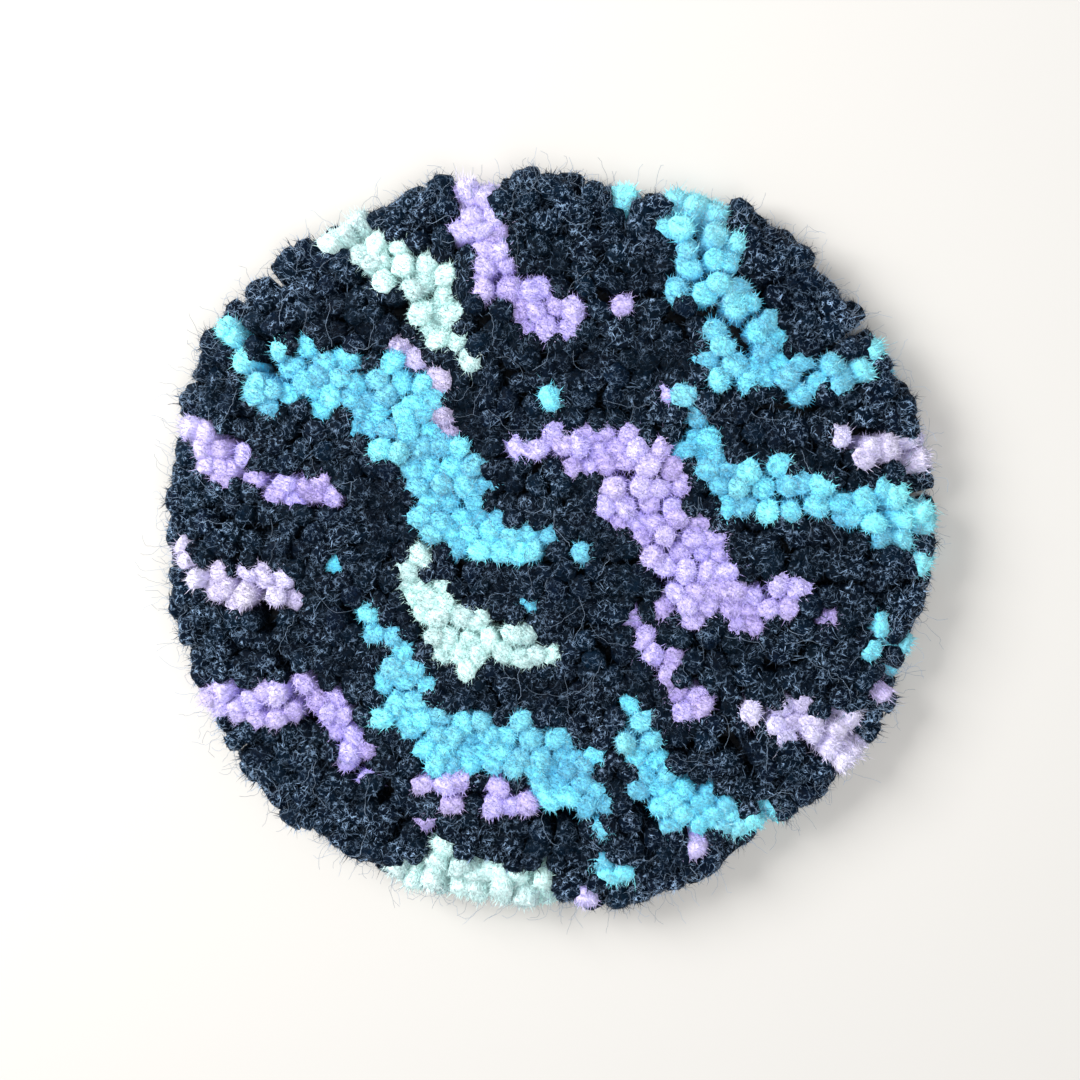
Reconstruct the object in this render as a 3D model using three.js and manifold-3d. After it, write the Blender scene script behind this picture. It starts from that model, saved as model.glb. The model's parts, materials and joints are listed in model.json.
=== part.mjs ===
// Round table rug: a cut pile of thick acrylic yarn, tufted through a flat round of cotton ground cloth.
// The pile is one lumpy slab. Round its rim nothing holds the yarn ends upright, so they splay outwards
// as separate locks, the lowest almost level and the highest still half upright.
// Millimetres, +Z up. The origin is the middle of the rug's underside.

import * as THREE from 'three';
import { mergeVertices } from 'three/addons/utils/BufferGeometryUtils.js';
import Module from 'manifold-3d';

// Driving dimensions
const RUG_RADIUS = 97; // mean reach of the yarn ends from the middle
const CLOTH_RADIUS = 87.5; // the ground cloth stops short of the splayed rim
const CLOTH_THICKNESS = 2;
const CLOTH_EDGE_ROUND = 0.5;
const PILE_TOP = 17; // the surface of the trimmed pile above the table
const PIECE_GAP = 0.3; // between the ground cloth and the pile's roots
const SLAB_RADIUS = 92; // where the pile stops being solid and breaks up into locks
const SLAB_SECTORS = 72;
const SLAB_TOP_RINGS = 11;
const CLUMP_RISE = 1.1; // how far the pile's surface wavers up or down
const WAVER_FROM = 9.8; // height on the shoulder at which the wavering starts

// Bulges and flats of the hand-cut outline. at and spread are in degrees, anticlockwise from +X.
const OUTLINE_LOBES = [
  { at: 22, spread: 20, swell: 2.2 },
  { at: 54, spread: 8, swell: 2.4 },
  { at: 77, spread: 11, swell: -4.6 },
  { at: 98, spread: 9, swell: -3.6 },
  { at: 118, spread: 10, swell: -1.2 },
  { at: 148, spread: 16, swell: 4.4 },
  { at: 181, spread: 12, swell: 1.2 },
  { at: 214, spread: 24, swell: 2.8 },
  { at: 268, spread: 16, swell: -2.2 },
  { at: 309, spread: 11, swell: -4.6 },
  { at: 340, spread: 14, swell: -1.0 },
];

// Long low waves in the pile's surface. length is the wave's length, heading its direction in degrees.
const SURFACE_WAVES = [
  { length: 26, heading: 18, phase: 0.4 },
  { length: 21, heading: 84, phase: 2.1 },
  { length: 18, heading: 143, phase: 4.4 },
];

// Section of the pile's slab from the edge of its underside to the flat of its top.
// beyond is the distance outside SLAB_RADIUS, rise is the height above the table.
const SLAB_SHOULDER = [
  { beyond: -5.0, rise: CLOTH_THICKNESS + PIECE_GAP },
  { beyond: -1.4, rise: 3.4 },
  { beyond: 0, rise: 6.4 },
  { beyond: -0.8, rise: 9.8 },
  { beyond: -3.8, rise: 12.8 },
  { beyond: -9.0, rise: 15.2 },
  { beyond: -16.0, rise: 16.5 },
];

// Rings of splayed locks, low, middle and high. rootIn and tipIn are distances inside the outline, rootRise
// and tipRise are heights above the table, and turn is a share of the spacing between two locks.
const LOCK_ROWS = [
  { count: 92, rootIn: 11, rootRise: 5.2, tipIn: 1.0, tipRise: 3.6, width: 5.2, turn: 0 },
  { count: 76, rootIn: 12, rootRise: 8.2, tipIn: 1.6, tipRise: 9.8, width: 5.4, turn: 0.5 },
  { count: 62, rootIn: 15, rootRise: 8.6, tipIn: 6.6, tipRise: 15.2, width: 5.2, turn: 0.25 },
];
const LOCK_SIDES = 4;
const LOCK_TIP_SHARE = 0.56; // width of a lock's cut end against its root
const UNEVEN_SPACING = 0.15; // as a share of the spacing between two locks
const UNEVEN_LENGTH = 2; // how far a cut end falls short of its row or passes it
const UNEVEN_RISE = 0.5;

const WELD_DISTANCE = 1e-4; // points nearer than this are one corner

const wasm = await Module();
wasm.setup();

const degrees = THREE.MathUtils.degToRad;

// A repeatable stand-in for chance, from -1 to 1. Each use of it on a lock has its own number.
function chance(row, index, use) {
  const value = Math.sin(row * 78.233 + index * 12.9898 + use * 37.719) * 43758.5453;
  return 2 * (value - Math.floor(value)) - 1;
}

// How far the outline stands outside its mean circle at an angle in radians.
function outlineSwell(angle) {
  let swell = 0;
  for (const lobe of OUTLINE_LOBES) {
    const away = THREE.MathUtils.euclideanModulo(angle - degrees(lobe.at) + Math.PI, 2 * Math.PI) - Math.PI;
    swell += lobe.swell * Math.exp(-((away / degrees(lobe.spread)) ** 2));
  }
  return swell;
}

// The pile's waver at a point, from -1 to 1.
function surfaceWaver(x, y) {
  let waver = 0;
  for (const wave of SURFACE_WAVES) {
    const along = x * Math.cos(degrees(wave.heading)) + y * Math.sin(degrees(wave.heading));
    waver += Math.sin((2 * Math.PI * along) / wave.length + wave.phase);
  }
  return waver / SURFACE_WAVES.length;
}

// Joins shared corners and drops the flat triangles that a lathe leaves on its axis.
function weld(geometry) {
  geometry.deleteAttribute('normal');
  geometry.deleteAttribute('uv');
  const welded = mergeVertices(geometry, WELD_DISTANCE);
  const corners = welded.getIndex().array;
  const kept = [];
  for (let i = 0; i < corners.length; i += 3) {
    const [a, b, c] = corners.slice(i, i + 3);
    if (a !== b && b !== c && c !== a) kept.push(a, b, c);
  }
  welded.setIndex(kept);
  return welded;
}

// A round turned from a section, then pushed out to the rug's outline in proportion to its radius.
function turnedRound(section, outerRadius) {
  const geometry = new THREE.LatheGeometry(section, SLAB_SECTORS);
  geometry.rotateX(Math.PI / 2);
  const welded = weld(geometry);
  const place = welded.getAttribute('position');
  for (let i = 0; i < place.count; i++) {
    const x = place.getX(i);
    const y = place.getY(i);
    const outward = Math.min(1, Math.hypot(x, y) / outerRadius);
    const stretch = 1 + (outlineSwell(Math.atan2(y, x)) * outward) / outerRadius;
    place.setXY(i, x * stretch, y * stretch);
  }
  return welded;
}

function groundClothGeometry() {
  const section = [
    new THREE.Vector2(0, 0),
    new THREE.Vector2(CLOTH_RADIUS - CLOTH_EDGE_ROUND, 0),
    new THREE.Vector2(CLOTH_RADIUS, CLOTH_EDGE_ROUND),
    new THREE.Vector2(CLOTH_RADIUS, CLOTH_THICKNESS - CLOTH_EDGE_ROUND),
    new THREE.Vector2(CLOTH_RADIUS - CLOTH_EDGE_ROUND, CLOTH_THICKNESS),
    new THREE.Vector2(0, CLOTH_THICKNESS),
  ];
  return turnedRound(section, CLOTH_RADIUS);
}

// The pile as far as it stands close: flat underneath, wavering on top, rounded over at the shoulder.
function pileSlabGeometry() {
  const section = [new THREE.Vector2(0, CLOTH_THICKNESS + PIECE_GAP)];
  for (const point of SLAB_SHOULDER) {
    section.push(new THREE.Vector2(SLAB_RADIUS + point.beyond, point.rise));
  }
  const shoulderTop = section[section.length - 1];
  for (let ring = 1; ring <= SLAB_TOP_RINGS; ring++) {
    section.push(shoulderTop.clone().lerp(new THREE.Vector2(0, PILE_TOP), ring / SLAB_TOP_RINGS));
  }
  const slab = turnedRound(section, SLAB_RADIUS);
  const place = slab.getAttribute('position');
  for (let i = 0; i < place.count; i++) {
    const rise = place.getZ(i);
    const share = THREE.MathUtils.smoothstep(rise, WAVER_FROM, PILE_TOP);
    place.setZ(i, rise + share * CLUMP_RISE * surfaceWaver(place.getX(i), place.getY(i)));
  }
  return slab;
}

// One lock: a four-sided bundle of yarn that narrows from its root in the slab to its cut end.
function rimLockGeometry(row, rowNumber, index) {
  const [aside, longer, higher] = [1, 2, 3].map((use) => chance(rowNumber, index, use));
  const angle = ((index + row.turn + UNEVEN_SPACING * aside) / row.count) * 2 * Math.PI;
  const reach = RUG_RADIUS + outlineSwell(angle);
  const root = new THREE.Vector2(reach - row.rootIn, row.rootRise);
  const tip = new THREE.Vector2(
    reach - row.tipIn + UNEVEN_LENGTH * longer,
    row.tipRise + UNEVEN_RISE * higher,
  );
  const length = root.distanceTo(tip);
  const halfDiagonal = row.width / Math.SQRT2;
  const lock = new THREE.CylinderGeometry(halfDiagonal * LOCK_TIP_SHARE, halfDiagonal, length, LOCK_SIDES);
  lock.rotateY(Math.PI / LOCK_SIDES);
  lock.translate(0, length / 2, 0);
  const steepness = tip.clone().sub(root).angle();
  lock.rotateZ(steepness - Math.PI / 2);
  lock.translate(root.x, root.y, 0);
  lock.rotateX(Math.PI / 2);
  lock.rotateZ(angle);
  return weld(lock);
}

function toManifold(geometry) {
  return new wasm.Manifold(new wasm.Mesh({
    numProp: 3,
    vertProperties: new Float32Array(geometry.getAttribute('position').array),
    triVerts: new Uint32Array(geometry.getIndex().array),
  }));
}

function toGeometry(solid) {
  const mesh = solid.getMesh();
  const geometry = new THREE.BufferGeometry();
  geometry.setAttribute('position', new THREE.BufferAttribute(mesh.vertProperties, 3));
  geometry.setIndex(new THREE.BufferAttribute(mesh.triVerts, 1));
  return geometry;
}

function pileGeometry() {
  let pile = toManifold(pileSlabGeometry());
  LOCK_ROWS.forEach((row, rowNumber) => {
    for (let index = 0; index < row.count; index++) {
      pile = pile.add(toManifold(rimLockGeometry(row, rowNumber, index)));
    }
  });
  return toGeometry(pile);
}

const clothMaterial = new THREE.MeshStandardMaterial({ color: 0x3a3c40, roughness: 0.95, metalness: 0 });
const groundCloth = new THREE.Mesh(groundClothGeometry(), clothMaterial);
groundCloth.name = 'ground_cloth';

const pileMaterial = new THREE.MeshStandardMaterial({ color: 0x12161d, roughness: 0.9, metalness: 0 });
const pile = new THREE.Mesh(pileGeometry(), pileMaterial);
pile.name = 'pile';

const rug = new THREE.Group();
rug.add(groundCloth, pile);

export default rug;
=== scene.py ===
import json
import math
import random
import bpy
import numpy as np
from mathutils import Matrix, Vector

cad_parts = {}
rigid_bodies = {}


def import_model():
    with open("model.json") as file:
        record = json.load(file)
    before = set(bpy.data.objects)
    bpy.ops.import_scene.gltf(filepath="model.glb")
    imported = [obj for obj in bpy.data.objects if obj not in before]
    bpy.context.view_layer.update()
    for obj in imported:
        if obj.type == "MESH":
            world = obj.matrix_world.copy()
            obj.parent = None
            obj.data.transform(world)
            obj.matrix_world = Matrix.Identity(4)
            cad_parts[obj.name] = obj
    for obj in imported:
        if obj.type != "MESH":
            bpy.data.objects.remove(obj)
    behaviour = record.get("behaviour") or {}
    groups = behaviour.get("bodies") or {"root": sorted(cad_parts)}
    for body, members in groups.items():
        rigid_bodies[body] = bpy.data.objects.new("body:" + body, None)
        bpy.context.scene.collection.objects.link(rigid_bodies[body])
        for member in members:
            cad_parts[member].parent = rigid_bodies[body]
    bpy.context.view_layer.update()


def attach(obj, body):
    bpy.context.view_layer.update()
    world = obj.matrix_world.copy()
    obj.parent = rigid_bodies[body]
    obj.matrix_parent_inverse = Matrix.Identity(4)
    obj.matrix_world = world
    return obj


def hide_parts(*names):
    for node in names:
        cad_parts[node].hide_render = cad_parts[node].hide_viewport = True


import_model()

# Camera
# It stands over the far right of the rug and looks straight down there, so the cut ends below it are seen
# end on, and those towards the near left rim are seen a little from the side.
MM = 0.001
PHOTO_SIZE = 1080
LENS = 50
SENSOR = 36
RUG_PIXELS = 803  # what 200 mm is there, in the photo's pixels
RUG_WIDTH = 200 * MM
STRAIGHT_DOWN_PIXEL = (700, 330)  # where the cut ends show end on
RUG_MIDDLE_PIXEL = (539, 552)
PILE_LOOK_HEIGHT = 12 * MM

pixels_per_radian = PHOTO_SIZE * LENS / SENSOR
camera_distance = pixels_per_radian * RUG_WIDTH / RUG_PIXELS
metres_per_pixel = RUG_WIDTH / RUG_PIXELS
half_photo = PHOTO_SIZE / 2
right_of_middle = STRAIGHT_DOWN_PIXEL[0] - half_photo
above_middle = half_photo - STRAIGHT_DOWN_PIXEL[1]
camera_tilt = math.atan(math.hypot(right_of_middle, above_middle) / pixels_per_radian)
camera_heading = math.atan2(above_middle, right_of_middle)
look_at = Vector((
    (half_photo - RUG_MIDDLE_PIXEL[0]) * metres_per_pixel,
    (RUG_MIDDLE_PIXEL[1] - half_photo) * metres_per_pixel,
    PILE_LOOK_HEIGHT,
))
sideways = camera_distance * math.sin(camera_tilt)
camera_place = look_at + Vector((
    sideways * math.cos(camera_heading),
    sideways * math.sin(camera_heading),
    camera_distance * math.cos(camera_tilt),
))
view_back = (camera_place - look_at).normalized()
view_right = Vector((0, 1, 0)).cross(view_back).normalized()
view_up = view_back.cross(view_right)
camera_data = bpy.data.cameras.new("camera")
camera_data.lens = LENS
camera_data.sensor_width = SENSOR
camera = bpy.data.objects.new("camera", camera_data)
camera.matrix_world = Matrix.Translation(camera_place) @ Matrix(
    (view_right, view_up, view_back)
).transposed().to_4x4()
bpy.context.scene.collection.objects.link(camera)
bpy.context.scene.camera = camera

# Ground cloth
# The round of plain-woven cotton that the yarn is tufted through, cut to the rug's outline and sized flat.
# It lies on the table, and the pile hides its upper side. It is a closed disc built from rings of points.
CLOTH_RADIUS = 87.5 * MM
CLOTH_THICKNESS = 2 * MM
CLOTH_EDGE_ROUND = 0.5 * MM
CLOTH_STEPS = 144
THREAD_SPACING = 2.0 * MM  # tufting cloth has paired threads about 2 mm apart
WEAVE_RELIEF = 0.3 * MM
CLOTH_PATCH = 14 * MM  # the dye has taken unevenly in patches of this size
COTTON_FUZZ = 0.35 * MM
COTTON_FUZZ_RELIEF = 0.15 * MM
CLOTH_COLOUR = "#3A3C40"
# The colour of the painted shade where the threads dip under each other.
CLOTH_DIP_PAINTED_SHADE = "#232529"

# Bulges and flats of the hand-cut outline: degrees anticlockwise from +X, spread in degrees, swell in mm.
OUTLINE_LOBES = [
    {"at": 22, "spread": 20, "swell": 2.2},
    {"at": 54, "spread": 8, "swell": 2.4},
    {"at": 77, "spread": 11, "swell": -4.6},
    {"at": 98, "spread": 9, "swell": -3.6},
    {"at": 118, "spread": 10, "swell": -1.2},
    {"at": 148, "spread": 16, "swell": 4.4},
    {"at": 181, "spread": 12, "swell": 1.2},
    {"at": 214, "spread": 24, "swell": 2.8},
    {"at": 268, "spread": 16, "swell": -2.2},
    {"at": 309, "spread": 11, "swell": -4.6},
    {"at": 340, "spread": 14, "swell": -1.0},
]


def outline_swell(angle):
    """How far the outline stands outside its mean circle, in metres, at an angle in radians."""
    swell = 0.0
    for lobe in OUTLINE_LOBES:
        away = (math.degrees(angle) - lobe["at"] + 180) % 360 - 180
        swell += lobe["swell"] * math.exp(-((away / lobe["spread"]) ** 2))
    return swell * MM


def linear(hex_colour):
    """An sRGB hex colour as the linear values that a shader takes, opaque."""
    channels = [int(hex_colour[i:i + 2], 16) / 255 for i in (1, 3, 5)]
    return tuple(c / 12.92 if c <= 0.04045 else ((c + 0.055) / 1.055) ** 2.4 for c in channels) + (1.0,)


def add(tree, kind, inputs=None, **settings):
    """Adds a node. An input takes a value, a socket, or a node, which stands for its first live output."""
    node = tree.nodes.new(kind)
    for name, value in settings.items():
        setattr(node, name, value)
    for key, value in (inputs or {}).items():
        live = [s for s in node.inputs if s.enabled]
        socket = live[key] if isinstance(key, int) else next(s for s in live if s.name == key)
        if isinstance(value, bpy.types.Node):
            value = next(s for s in value.outputs if s.enabled)
        if isinstance(value, bpy.types.NodeSocket):
            tree.links.new(value, socket)
        else:
            socket.default_value = value
    return node


def new_material(name):
    """An empty node material and its node tree."""
    material = bpy.data.materials.new(name)
    material.use_nodes = True
    material.node_tree.nodes.clear()
    return material, material.node_tree


def new_mesh_object(name, vertices, faces):
    """A mesh object at the origin from plain lists of points and faces."""
    mesh = bpy.data.meshes.new(name)
    mesh.from_pydata(vertices, [], faces)
    mesh.validate()
    made = bpy.data.objects.new(name, mesh)
    bpy.context.scene.collection.objects.link(made)
    return made


def cloth_round():
    """The round of cloth: rings of points from the middle of its underside, up its edge, to its top."""
    section = [
        (CLOTH_RADIUS * share - CLOTH_EDGE_ROUND, 0.0) for share in (0.25, 0.5, 0.75, 1.0)
    ] + [
        (CLOTH_RADIUS, CLOTH_EDGE_ROUND),
        (CLOTH_RADIUS, CLOTH_THICKNESS - CLOTH_EDGE_ROUND),
        (CLOTH_RADIUS - CLOTH_EDGE_ROUND, CLOTH_THICKNESS),
    ]
    places = [(0.0, 0.0, 0.0), (0.0, 0.0, CLOTH_THICKNESS)]
    for radius, height in section:
        for step in range(CLOTH_STEPS):
            angle = 2 * math.pi * step / CLOTH_STEPS
            reach = radius * (1 + outline_swell(angle) / CLOTH_RADIUS)
            places.append((reach * math.cos(angle), reach * math.sin(angle), height))
    faces = []
    for step in range(CLOTH_STEPS):
        after = (step + 1) % CLOTH_STEPS
        faces.append((0, 2 + after, 2 + step))
        for ring in range(len(section) - 1):
            first, above = 2 + ring * CLOTH_STEPS, 2 + (ring + 1) * CLOTH_STEPS
            faces.append((first + step, first + after, above + after, above + step))
        last = 2 + (len(section) - 1) * CLOTH_STEPS
        faces.append((1, last + step, last + after))
    return places, faces


def cotton_cloth():
    """Dyed cotton tufting cloth: matt, its threads raised where they cross over, with painted shade where
    they dip.
    """
    material, tree = new_material("dyed cotton tufting cloth")
    place = add(tree, "ShaderNodeTexCoord").outputs["Object"]
    turns = add(tree, "ShaderNodeVectorMath", {
        0: place, "Scale": math.pi / THREAD_SPACING,
    }, operation="SCALE")
    rows = add(tree, "ShaderNodeSeparateXYZ", {0: turns}).outputs
    weft = add(tree, "ShaderNodeMath", {0: rows["X"]}, operation="SINE")
    warp = add(tree, "ShaderNodeMath", {0: rows["Y"]}, operation="SINE")
    crossing = add(tree, "ShaderNodeMath", {0: weft, 1: warp}, operation="MULTIPLY")
    # Painted shade: the colour darkens where the threads dip under each other, following the weave.
    shade = add(tree, "ShaderNodeMapRange", {"Value": crossing, "From Min": -1.0, "From Max": 1.0})
    threads_with_painted_shade = add(tree, "ShaderNodeMix", {
        "Factor": shade, "A": linear(CLOTH_DIP_PAINTED_SHADE), "B": linear(CLOTH_COLOUR),
    }, data_type="RGBA")
    patches = add(tree, "ShaderNodeTexNoise", {"Vector": place, "Scale": 1 / CLOTH_PATCH, "Detail": 3.0})
    brightness = add(tree, "ShaderNodeMapRange", {"Value": patches, "To Min": 0.8, "To Max": 1.2})
    dyed = add(tree, "ShaderNodeHueSaturation", {"Color": threads_with_painted_shade, "Value": brightness})
    weave = add(tree, "ShaderNodeBump", {"Height": crossing, "Strength": 0.8, "Distance": WEAVE_RELIEF / 2})
    fibres = add(tree, "ShaderNodeTexNoise", {"Vector": place, "Scale": 1 / COTTON_FUZZ, "Detail": 2.0})
    bump = add(tree, "ShaderNodeBump", {
        "Height": fibres, "Strength": 0.5, "Distance": COTTON_FUZZ_RELIEF, "Normal": weave,
    })
    surface = add(tree, "ShaderNodeBsdfPrincipled", {
        "Base Color": dyed, "Roughness": 0.9, "Specular IOR Level": 0.2, "Sheen Weight": 0.2, "Normal": bump,
    })
    add(tree, "ShaderNodeOutputMaterial", {"Surface": surface})
    return material


cloth = new_mesh_object("tufting_cloth", *cloth_round())
cloth.data.materials.append(cotton_cloth())
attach(cloth, "root")
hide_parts("ground_cloth")

# Yarn ends
# Thick acrylic yarn, tufted through the cloth and cut. Each end blooms where it is cut: its fibres spring
# apart into a soft tuft. A few ends of each kind are grown here upright, for the pile to repeat.
YARN_LENGTH = 15 * MM  # from the cloth to the cut
YARN_RADIUS = 3.15 * MM
BODY_SHARE = 0.88  # the yarn's twist holds it together up to here
CROWN_SHARE = 0.36  # height of the rounded cut end against its radius
BODY_SEGMENTS = 8
BODY_RINGS = 6
LUMP_SIZE = 1.5 * MM
LUMP_RELIEF = 2.7 * MM  # how unevenly the bundled fibres fill a yarn end
FIBRE_ROOT_DEPTH = 0.3 * MM  # the fibres start this far inside the yarn end
FIBRE_DRIFT_SIZE = 3.0 * MM  # of the waves that curl the fibres
FIBRE_LENGTHS = (0.6, 1.2)  # the shortest and the longest fibre of a sort, as shares of its length
FIBRE_FULLNESS = 1.7  # the tip half of a fibre is this much fatter than an even taper
DRIFT_SPREAD = 9.0  # how much neighbouring fibres differ in their curl
FIRST_SEED = 11
SECOND_DRAW = 100.0  # added to a seed, it gives a second set of random values

# Real fibres are about 0.02 mm thick, which would not show from this far, so these are coarser and fewer.
# Rise is how much a fibre turns upwards, Unruly is how far it goes its own way, and Curl is how far its tip
# is pulled aside.
FIBRE_LOOKS = {
    "Nap": {
        "Segments": 1, "Length": 1.9 * MM, "Radius": 0.16 * MM, "Rise": 0.7, "Unruly": 1.9, "Curl": 2.4 * MM,
    },
    "Loose": {
        "Segments": 1, "Length": 2.4 * MM, "Radius": 0.075 * MM, "Rise": 0.3, "Unruly": 2.8, "Curl": 2.0 * MM,
    },
    "Curly": {
        "Segments": 3, "Length": 4.2 * MM, "Radius": 0.06 * MM, "Rise": 0.3, "Unruly": 3.0, "Curl": 5.5 * MM,
    },
}


def new_tree(name, **inputs):
    """A geometry node tree with the named inputs. A socket's type follows from its short name."""
    tree = bpy.data.node_groups.new(name, "GeometryNodeTree")
    for label, kind in inputs.items():
        tree.interface.new_socket(
            name=label.replace("_", " "), in_out="INPUT", socket_type="NodeSocket" + kind,
        )
    tree.interface.new_socket(name="Geometry", in_out="OUTPUT", socket_type="NodeSocketGeometry")
    return tree, tree.nodes.new("NodeGroupInput").outputs


def shaped(made, tree, values):
    """Turns an object's mesh into what the tree makes of it, as a plain mesh with no modifier left."""
    modifier = made.modifiers.new("shape", "NODES")
    modifier.node_group = tree
    for item in tree.interface.items_tree:
        if item.in_out == "INPUT" and item.name in values:
            modifier[item.identifier] = values[item.name]
    seen = bpy.context.evaluated_depsgraph_get()
    mesh = bpy.data.meshes.new_from_object(
        made.evaluated_get(seen), preserve_all_data_layers=True, depsgraph=seen,
    )
    made.modifiers.remove(modifier)
    made.data = mesh
    return made


def sprung_tree():
    """Fibres that spring out of a surface above a height. Each is a spike, turned its own way and curled."""
    tree, given = new_tree(
        "fibres out of a surface", Surface="Geometry", Lowest="Float", Density="Float", Segments="Int",
        Length="Float", Radius="Float", Rise="Float", Unruly="Float", Curl="Float", Seed="Int",
    )
    surface_height = add(tree, "ShaderNodeSeparateXYZ", {0: add(tree, "GeometryNodeInputPosition")})
    frayed = add(tree, "FunctionNodeCompare", {
        0: surface_height.outputs["Z"], 1: given["Lowest"],
    }, operation="GREATER_THAN")
    strewn = add(tree, "GeometryNodeDistributePointsOnFaces", {
        "Mesh": given["Surface"], "Selection": frayed, "Density": given["Density"], "Seed": given["Seed"],
    })
    sunk = add(tree, "ShaderNodeVectorMath", {
        0: strewn.outputs["Normal"], "Scale": -FIBRE_ROOT_DEPTH,
    }, operation="SCALE")
    roots = add(tree, "GeometryNodeSetPosition", {"Geometry": strewn.outputs["Points"], "Offset": sunk})
    chance = add(tree, "FunctionNodeRandomValue", {"Seed": given["Seed"]}, data_type="FLOAT_VECTOR")
    other_seed = add(tree, "ShaderNodeMath", {0: given["Seed"], 1: SECOND_DRAW}, operation="ADD")
    other_chance = add(tree, "FunctionNodeRandomValue", {"Seed": other_seed}, data_type="FLOAT_VECTOR")
    other = add(tree, "ShaderNodeSeparateXYZ", {0: other_chance}).outputs
    toned = add(tree, "GeometryNodeStoreNamedAttribute", {
        "Geometry": roots, "Name": "fibre_tone", "Value": other["X"],
    }, data_type="FLOAT", domain="POINT")
    either_way = add(tree, "ShaderNodeVectorMath", {0: chance, 1: (0.5, 0.5, 0.5)}, operation="SUBTRACT")
    astray = add(tree, "ShaderNodeVectorMath", {
        0: either_way, "Scale": given["Unruly"],
    }, operation="SCALE")
    upwards = add(tree, "ShaderNodeCombineXYZ", {"Z": given["Rise"]})
    outwards = add(tree, "ShaderNodeVectorMath", {0: strewn.outputs["Normal"], 1: upwards}, operation="ADD")
    way = add(tree, "ShaderNodeVectorMath", {0: outwards, 1: astray}, operation="ADD")
    turned = add(tree, "FunctionNodeAlignRotationToVector", {"Vector": way}, axis="Z")
    length_share = add(tree, "ShaderNodeMapRange", {
        "Value": other["Y"], "To Min": FIBRE_LENGTHS[0], "To Max": FIBRE_LENGTHS[1],
    })
    fibre_long = add(tree, "ShaderNodeMath", {0: length_share, 1: given["Length"]}, operation="MULTIPLY")
    size = add(tree, "ShaderNodeCombineXYZ", {"X": given["Radius"], "Y": given["Radius"], "Z": fibre_long})

    spike = add(tree, "GeometryNodeMeshCone", {
        "Vertices": 3, "Side Segments": given["Segments"], "Radius Top": 0.0, "Radius Bottom": 1.0,
        "Depth": 1.0,
    }, fill_type="NGON")
    place = add(tree, "GeometryNodeInputPosition")
    along = add(tree, "ShaderNodeSeparateXYZ", {0: place}).outputs["Z"]
    fuller = add(tree, "ShaderNodeMapRange", {
        "Value": along, "From Max": 0.5, "To Min": 1.0, "To Max": FIBRE_FULLNESS,
    })
    fat = add(tree, "ShaderNodeCombineXYZ", {"X": fuller, "Y": fuller, "Z": 1.0})
    fattened = add(tree, "ShaderNodeVectorMath", {0: place, 1: fat}, operation="MULTIPLY")
    fibre = add(tree, "GeometryNodeSetPosition", {"Geometry": spike, "Position": fattened})
    marked = add(tree, "GeometryNodeStoreNamedAttribute", {
        "Geometry": fibre, "Name": "along", "Value": along,
    }, data_type="FLOAT", domain="POINT")
    sprung = add(tree, "GeometryNodeInstanceOnPoints", {
        "Points": toned, "Instance": marked, "Rotation": turned, "Scale": size,
    })
    fibres = add(tree, "GeometryNodeRealizeInstances", {"Geometry": sprung})
    stored_along = add(tree, "GeometryNodeInputNamedAttribute", {"Name": "along"}, data_type="FLOAT")
    stored_tone = add(tree, "GeometryNodeInputNamedAttribute", {"Name": "fibre_tone"}, data_type="FLOAT")
    waver = add(tree, "ShaderNodeMath", {
        0: stored_tone, 1: DRIFT_SPREAD, 2: given["Seed"],
    }, operation="MULTIPLY_ADD")
    drift = add(tree, "ShaderNodeTexNoise", {
        "W": waver, "Scale": 1 / FIBRE_DRIFT_SIZE, "Detail": 0.0,
    }, noise_dimensions="4D")
    drift_way = add(tree, "ShaderNodeVectorMath", {
        0: drift.outputs["Color"], 1: (0.5, 0.5, 0.5),
    }, operation="SUBTRACT")
    curl = add(tree, "ShaderNodeMath", {0: stored_along, 1: given["Curl"]}, operation="MULTIPLY")
    curled = add(tree, "ShaderNodeVectorMath", {0: drift_way, "Scale": curl}, operation="SCALE")
    loose = add(tree, "GeometryNodeSetPosition", {"Geometry": fibres, "Offset": curled})
    add(tree, "NodeGroupOutput", {0: loose})
    return tree


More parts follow.
